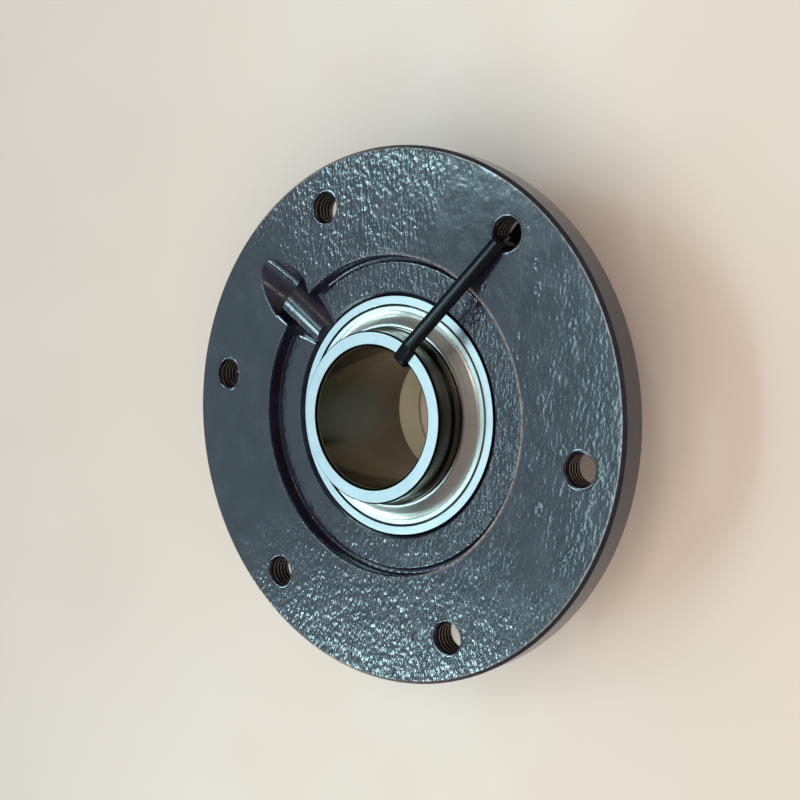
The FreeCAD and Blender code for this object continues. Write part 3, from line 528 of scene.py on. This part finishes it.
def cast_skin(name, inner_edge, r_in, r_out, outer_edge, height, spacing, table, edge_highlight_table):
    """A raised, rough paint surface over a cast face, rolled over the face's two round edges.

    Each edge is a list of (radius, height) points from the inside outwards; the flat part between
    them, from r_in to r_out, takes the cast texture and dips under the face where the port's
    hollow cuts it. table gives its grain by direction, and the last table the strength of the painted
    highlight on its round edges.
    """
    flat = np.linspace(r_in, r_out, int((r_out - r_in) / spacing) + 1)
    section = inner_edge + [(radius, height + SKIN) for radius in flat] + outer_edge
    radii, heights = (np.array(values)[:, None] for values in zip(*section))
    rows = len(section)
    columns = int(math.pi * (r_in + r_out) / spacing)
    angle = np.linspace(0.0, 2.0 * math.pi, columns, endpoint=False)[None, :]
    across, depth = radii * np.cos(angle), radii * np.sin(angle)

    in_from_edge = smooth_step(radii, r_in - 0.1, r_in + 0.9)
    in_from_edge = in_from_edge * smooth_step(-radii, -r_out - 0.1, 0.5 - r_out)
    port = room_to_port(across, depth)
    amount = grain_amount(across, depth, table) * smooth_step(port, 0.3, 1.4)
    texture = (0.25 + 0.75 * in_from_edge) * (cast_relief(across, depth, amount) + marks(across, depth))
    on_flat = (radii >= r_in - 0.3) & (radii <= r_out + 0.1)
    rise = heights + texture * on_flat
    dip = smooth_step(port, 0.0, 0.55)
    rise = (height - 0.06) * (1.0 - dip) + rise * dip
    # Painted highlight: a pale line along the two round edges, as strong as the table puts it by direction.
    directions, amounts = zip(*edge_highlight_table)
    painted_edge_highlight = (1.0 - in_from_edge) ** 2 * np.interp(np.degrees(angle), directions, amounts)

    points = np.stack([across, depth, rise], axis=-1).reshape(-1, 3) * MM
    keep = (port > -0.1) & (room_to_holes(across, depth) > 0.0)
    index = np.arange(rows * columns).reshape(rows, columns)
    corners, kept = (
        [grid[:-1], grid[1:], np.roll(grid[1:], -1, axis=1), np.roll(grid[:-1], -1, axis=1)]
        for grid in (index, keep))
    whole = kept[0] & kept[1] & kept[2] & kept[3]
    faces = np.stack([corner[whole] for corner in corners], axis=-1)
    used = np.unique(faces)
    renumber = np.full(len(points), -1)
    renumber[used] = np.arange(len(used))
    mesh = bpy.data.meshes.new(name)
    mesh.from_pydata(points[used].tolist(), [], renumber[faces].tolist())
    for label, values in (("grain", amount), ("painted_edge_highlight", painted_edge_highlight)):
        attribute = mesh.attributes.new(label, "FLOAT", "POINT")
        attribute.data.foreach_set("value", values.reshape(-1)[used].astype(np.float32))
    return added(name, mesh, paint, "housing")


def added(name, mesh, finish, body, flat=False):
    """Put a finished mesh in the scene, with its finish, riding on its body."""
    mesh.validate()
    if not flat:
        mesh.polygons.foreach_set("use_smooth", [True] * len(mesh.polygons))
    mesh.materials.append(finish)
    piece = bpy.data.objects.new(name, mesh)
    bpy.context.scene.collection.objects.link(piece)
    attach(piece, body)
    return piece


def rolled(centre_r, centre_z, radius, start, end, steps=5):
    """Points on an arc of a section, as (radius, height), between two directions in degrees."""
    turns = [math.radians(start + (end - start) * step / steps) for step in range(steps + 1)]
    return [(centre_r + radius * math.cos(turn), centre_z + radius * math.sin(turn)) for turn in turns]


step_roll = rolled(STEP_R + STEP_ROUND, FACE_Z - STEP_ROUND, STEP_ROUND + SKIN, 180.0, 100.0)
land_roll = rolled(LAND_R - 0.5, LAND_Z - 0.5, 0.5 + SKIN, 80.0, 0.0)
rim_roll = rolled(FLAT_OUT - 0.18, FACE_Z - 0.04, SKIN + 0.04, 80.0, -20.0, 4)
seat_roll = rolled(SEAT_MOUTH + 0.22, LAND_Z - 0.06, SKIN + 0.06, 200.0, 100.0, 4)
cast_skin("cast_skin_face",
          [(STEP_R + 0.1, FACE_Z - 2.4), (STEP_R - SKIN, FACE_Z - 1.9)] + step_roll,
          STEP_R + STEP_ROUND + 0.1, FLAT_OUT - 0.2, rim_roll + [(FLAT_OUT - 0.1, FACE_Z - 0.3)],
          FACE_Z, 0.46, FACE_GRAIN, FACE_EDGE_HIGHLIGHT)
cast_skin("cast_skin_land",
          [(SEAT_MOUTH + 0.2, LAND_Z - 0.4)] + seat_roll, SEAT_MOUTH + 0.3, LAND_R - 0.6,
          land_roll + [(LAND_R + SKIN, LAND_Z - 0.8), (LAND_R - 0.2, LAND_Z - 1.3)],
          LAND_Z, 0.38, LAND_GRAIN, NO_EDGE_HIGHLIGHT)


# ------------------------------------------------------------------ paint at the hole mouths
def mouth_lips():
    """The paint bead that narrows each tapped hole's mouth and runs a little way down it."""
    section = [    # (radius, height above the face), from the face down the hole
        (LIP_R + 0.45, -0.02), (LIP_R + 0.15, SKIN + 0.03), (LIP_R - 0.25, SKIN + 0.07),
        (LIP_R - 0.6, SKIN - 0.01), (LIP_R - 0.8, -0.25), (LIP_R - 0.82, -0.9),
        (LIP_R - 0.6, -1.3), (HOLE_R + 0.08, -1.6),
    ]
    columns = 96
    wave_count = 6
    draw = np.random.default_rng(11)
    corners, faces, values = [], [], []
    for number in range(HOLE_COUNT):
        x, y = hole_centre(number)
        strengths = draw.uniform(0.03, 0.09, wave_count)
        phases = draw.uniform(0.0, 2.0 * math.pi, wave_count)
        amount = np.interp(math.degrees(number * HOLE_STEP), *zip(*FACE_GRAIN))
        first = len(corners)
        for row, (radius, rise) in enumerate(section):
            loose = 0.6 if 0 < row < len(section) - 1 else 0.0
            lifted = 0.35 if loose and rise > -0.1 else 0.0
            for column in range(columns):
                turn = 2.0 * math.pi * column / columns
                wave = sum(strength * math.sin((count + 2) * turn + phase)
                           for count, (strength, phase) in enumerate(zip(strengths, phases)))
                reach = radius + loose * wave
                across, depth = x + reach * math.cos(turn), y + reach * math.sin(turn)
                corners.append(Vector((across, depth, FACE_Z + rise + lifted * wave)) * MM)
                values.append(0.5 * amount)
        for row in range(len(section) - 1):
            low = first + row * columns
            high = low + columns
            for column in range(columns):
                following = (column + 1) % columns
                faces.append((low + column, low + following, high + following, high + column))
    mesh = bpy.data.meshes.new("mouth_lips")
    mesh.from_pydata(corners, [], faces)
    grain = mesh.attributes.new("grain", "FLOAT", "POINT")
    grain.data.foreach_set("value", values)
    return added("mouth_lips", mesh, paint, "housing")


mouth_lips()


# ------------------------------------------------------------------ threads
def thread_helix(mesh, centre, turn, low, high, per_turn=64):
    """Ridges of a tapped thread from low to high in one hole, in millimetres.

    turn is the matrix from the hole's own frame to the row frame; each end runs out into the wall.
    """
    turns = (high - low) / THREAD_PITCH
    steps = int(turns * per_turn)
    # Each point is (share of the way from crest to root, height in pitches).
    section = [(1.0, -0.5), (1.0, -0.44), (0.0, -0.05), (0.0, 0.05), (1.0, 0.44), (1.0, 0.5)]
    crest = 2
    root_r = HOLE_R - 0.03
    rings = []
    for step in range(steps + 1):
        share = step / steps
        angle = 2.0 * math.pi * turns * share
        fade = min(1.0, 8.0 * share, 8.0 * (1.0 - share))
        ring = []
        for depth, rise in section:
            radius = root_r - (1.0 - depth) * fade * (root_r - THREAD_CREST)
            height = low + turns * THREAD_PITCH * share + rise * THREAD_PITCH
            point = Vector((radius * math.cos(angle), radius * math.sin(angle), height))
            ring.append(mesh.verts.new((Vector(centre) + turn @ point) * MM))
        rings.append(ring)
    for first, second in zip(rings, rings[1:]):
        for side in range(len(section) - 1):
            face = mesh.faces.new((first[side], first[side + 1], second[side + 1], second[side]))
            # The crest band takes the painted-highlight finish, the flanks and roots the painted-shade
            # finish.
            face.material_index = 1 if side == crest else 0


def tapped_threads():
    """The threads of all the tapped holes, each started at its own angle."""
    work = bmesh.new()
    for number in range(HOLE_COUNT):
        turn = Matrix.Rotation(1.1 * number, 3, "Z")
        thread_helix(work, (*hole_centre(number), 0.0), turn, 0.9, FACE_Z - 1.0)
    mesh = bpy.data.meshes.new("tapped_threads")
    work.to_mesh(mesh)
    work.free()
    # The near-black flanks and roots, set just inside the wall, also cover the hole's wall as painted
    # shade.
    threads = added("tapped_threads", mesh, flank_painted_shade, "housing")
    threads.data.materials.append(crest_painted_highlight)
    return threads


tapped_threads()


# ------------------------------------------------------------------ transport tie
def rounded(corners, radius, steps=7):
    """A path through corners in a plane, each inner corner turned on an arc."""
    path = [Vector(corners[0])]
    for before, corner, after in zip(corners, corners[1:], corners[2:]):
        corner = Vector(corner)
        back = (Vector(before) - corner).normalized()
        ahead = (Vector(after) - corner).normalized()
        half = back.angle(ahead) / 2.0
        reach = radius / math.tan(half)
        centre = corner + (back + ahead).normalized() * (radius / math.sin(half))
        start = corner + back * reach - centre
        end = corner + ahead * reach - centre
        for step in range(steps + 1):
            share = step / steps
            path.append(centre + start.lerp(end, share).normalized() * radius)
    path.append(Vector(corners[-1]))
    return path


def tie_path(to_hole):
    """Route of the tie's middle, as (distance out from the nose's wall, height), all the way round.

    It goes up the bore, over the inner ring, down the tapped hole and back behind the collar.
    """
    half = TIE_THICK / 2.0
    wall = BORE_R - NOSE_R - TIE_GAP - half - 0.15
    over_ring = RING_END + TIE_GAP + half
    into_hole = to_hole - HOLE_R + 2.2 + half
    behind = COLLAR_END - half
    in_bore = -10.0
    corners = [
        (wall, in_bore),
        (wall, over_ring),
        (0.2, over_ring),
        (into_hole, FACE_Z + 0.5 + half),
        (into_hole + 0.2, -0.4),
        (COLLAR_R - NOSE_R + TIE_GAP + half + 0.6, behind),
        (wall, behind - 0.1),
        (wall, in_bore),
    ]
    return rounded(corners, 1.3)[:-1]


def tie_strap():
    """Flat nylon tie that holds the insert square to the housing."""
    half = TIE_THICK / 2.0
    half_wide = TIE_WIDTH / 2.0
    bevel = 0.28
    nose = Vector((NOSE_R * math.cos(TIE_AT_RING), NOSE_R * math.sin(TIE_AT_RING)))
    hole = Vector(hole_centre(TIE_HOLE))
    out = (hole - nose).normalized()
    aside = Vector((-out.y, out.x, 0.0))
    to_hole = (hole - nose).length
    path = tie_path(to_hole)
    profile = [
        (-half_wide, bevel - half), (bevel - half_wide, -half),
        (half_wide - bevel, -half), (half_wide, bevel - half),
        (half_wide, half - bevel), (half_wide - bevel, half),
        (bevel - half_wide, half), (-half_wide, half - bevel),
    ]
    work = bmesh.new()
    rings = []
    count = len(path)
    for number, point in enumerate(path):
        tangent = (path[(number + 1) % count] - path[number - 1]).normalized()
        normal = Vector((-tangent.y, tangent.x))
        ring = []
        for side, lift in profile:
            flat = point + normal * lift
            place = Vector((*(nose + out * flat.x), flat.y)) + aside * side
            ring.append(work.verts.new(place * MM))
        rings.append(ring)
    for first, second in zip(rings, rings[1:] + rings[:1]):
        for side in range(len(profile)):
            following = (side + 1) % len(profile)
            work.faces.new((first[side], first[following], second[following], second[side]))
    bmesh.ops.recalc_face_normals(work, faces=work.faces)
    mesh = bpy.data.meshes.new("transport_tie")
    work.to_mesh(mesh)
    work.free()
    lock = nose + out * (to_hole - 2.4) + aside.xy * 0.6
    tie_lock((lock.x, lock.y, -3.1), out, aside)
    return added("transport_tie", mesh, nylon, "housing")


def tie_lock(place, out, aside):
    """The tie's locking head with its mouth and cut-off tail, under the tapped hole."""
    work = bmesh.new()
    frame_of_head = Matrix(((out.x, out.y, 0.0), aside, (0.0, 0.0, 1.0))).transposed()
    blocks = [    # (middle, size, bevel): the head, the strap's tail and the mouth
        ((-0.8, 0.0, 0.0), (11.0, 11.0, 5.2), 0.9),
        ((3.9, 0.0, 0.2), (3.0, 4.8, 1.1), 0.25),
        ((-0.2, 0.0, -3.0), (3.4, 6.0, 1.0), 0.3),
    ]
    for middle, size, bevel in blocks:
        made = bmesh.ops.create_cube(work, size=1.0)["verts"]
        for vert in made:
            local = Vector([vert.co[axis] * size[axis] + middle[axis] for axis in range(3)])
            vert.co = (Vector(place) + frame_of_head @ local) * MM
        edges = list({edge for vert in made for edge in vert.link_edges})
        bmesh.ops.bevel(work, geom=edges, offset=bevel * MM, segments=3, affect="EDGES")
    mesh = bpy.data.meshes.new("tie_lock")
    work.to_mesh(mesh)
    work.free()
    return added("tie_lock", mesh, nylon, "housing", flat=True)


tie_strap()


# ------------------------------------------------------------------ table, light, camera
def table():
    """Pale table top under the unit."""
    cream = Finish("table_cream", Specular_IOR_Level=0.35)
    cloud = cream.noise(60.0, detail=2.0)
    cream.to("Base Color", cream.blend(cloud, (0.65, 0.585, 0.545), (0.68, 0.612, 0.572)))
    cream.to("Roughness", cream.spread(cloud, 0.3, 0.7, 0.42, 0.55))
    mesh = bpy.data.meshes.new("table_top")
    reach = 3.0
    height = FLOOR_Z * MM
    around = ((-reach, -reach), (reach, -reach), (reach, reach), (-reach, reach))
    mesh.from_pydata([(x, y, height) for x, y in around], [], [(0, 1, 2, 3)])
    mesh.materials.append(cream.mat)
    top = bpy.data.objects.new("table_top", mesh)
    bpy.context.scene.collection.objects.link(top)


def softbox(name, direction, distance, width, height, radiance, colour, lights="both"):
    """An area light that faces the origin from a direction; radiance is its own brightness.

    lights says whether it acts on matt surfaces, on shiny ones or on both.
    """
    lamp = bpy.data.lights.new(name, "AREA")
    lamp.shape = "RECTANGLE"
    lamp.size = width
    lamp.size_y = height
    lamp.energy = radiance * math.pi * width * height
    lamp.color = colour
    holder = bpy.data.objects.new(name, lamp)
    toward = Vector(direction).normalized()
    holder.location = toward * distance
    holder.rotation_euler = toward.to_track_quat("Z", "Y").to_euler()
    holder.visible_diffuse = lights != "shiny"
    holder.visible_glossy = lights != "matt"
    bpy.context.scene.collection.objects.link(holder)


def heading(azimuth, elevation):
    """Unit vector from two angles in degrees, the azimuth measured from +X towards +Y."""
    turn, rise = math.radians(azimuth), math.radians(elevation)
    return math.cos(rise) * math.cos(turn), math.cos(rise) * math.sin(turn), math.sin(rise)


def surroundings():
    """Soft studio light: a cool room on the left, a warm one on the right."""
    world = bpy.data.worlds.new("room")
    bpy.context.scene.world = world
    world.use_nodes = True
    sky = world.node_tree.nodes["Background"]
    sky.inputs["Color"].default_value = (0.88, 0.80, 0.72, 1.0)
    sky.inputs["Strength"].default_value = 0.33
    cool = (0.60, 0.93, 1.0)
    # Name, direction, distance, width and height in metres, radiance, colour.
    softbox("sky_panel", (-0.62, -0.18, 0.76), 1.3, 1.3, 1.1, 0.76, (0.42, 0.82, 1.0))
    softbox("ceiling_light", heading(192.0, 71.5), 1.4, 0.9, 0.15, 10.0, cool)
    softbox("upper_window", heading(151.0, 50.0), 1.4, 0.44, 0.36, 25.0, cool, "shiny")
    softbox("lower_window", heading(229.0, 41.0), 1.4, 0.36, 0.36, 25.0, cool, "shiny")
    softbox("fill", heading(-22.0, 60.0), 1.7, 2.2, 1.8, 2.4, (1.0, 0.87, 0.72), "matt")
    softbox("far_lamp", heading(54.0, 60.0), 1.3, 0.30, 0.08, 20.0, (1.0, 0.88, 0.78))


def camera():
    """The photograph's view, solved from the flange's rim and its circle of holes."""
    shot = bpy.data.cameras.new("photo_view")
    shot.sensor_width = 36.0
    shot.lens = 53.63
    shot.clip_start = 0.01
    holder = bpy.data.objects.new("photo_view", shot)
    right = Vector((0.774339, 0.133299, -0.618572))
    up = Vector((-0.202543, 0.978341, -0.042719))
    back = Vector((0.599480, 0.158366, 0.784566))
    pose = Matrix((right, up, back)).transposed().to_4x4()
    pose.translation = Vector((0.259199, 0.074095, 0.342628))
    holder.matrix_world = pose
    bpy.context.scene.collection.objects.link(holder)
    bpy.context.scene.camera = holder


table()
surroundings()
camera()
bpy.context.scene.view_settings.view_transform = "Standard"
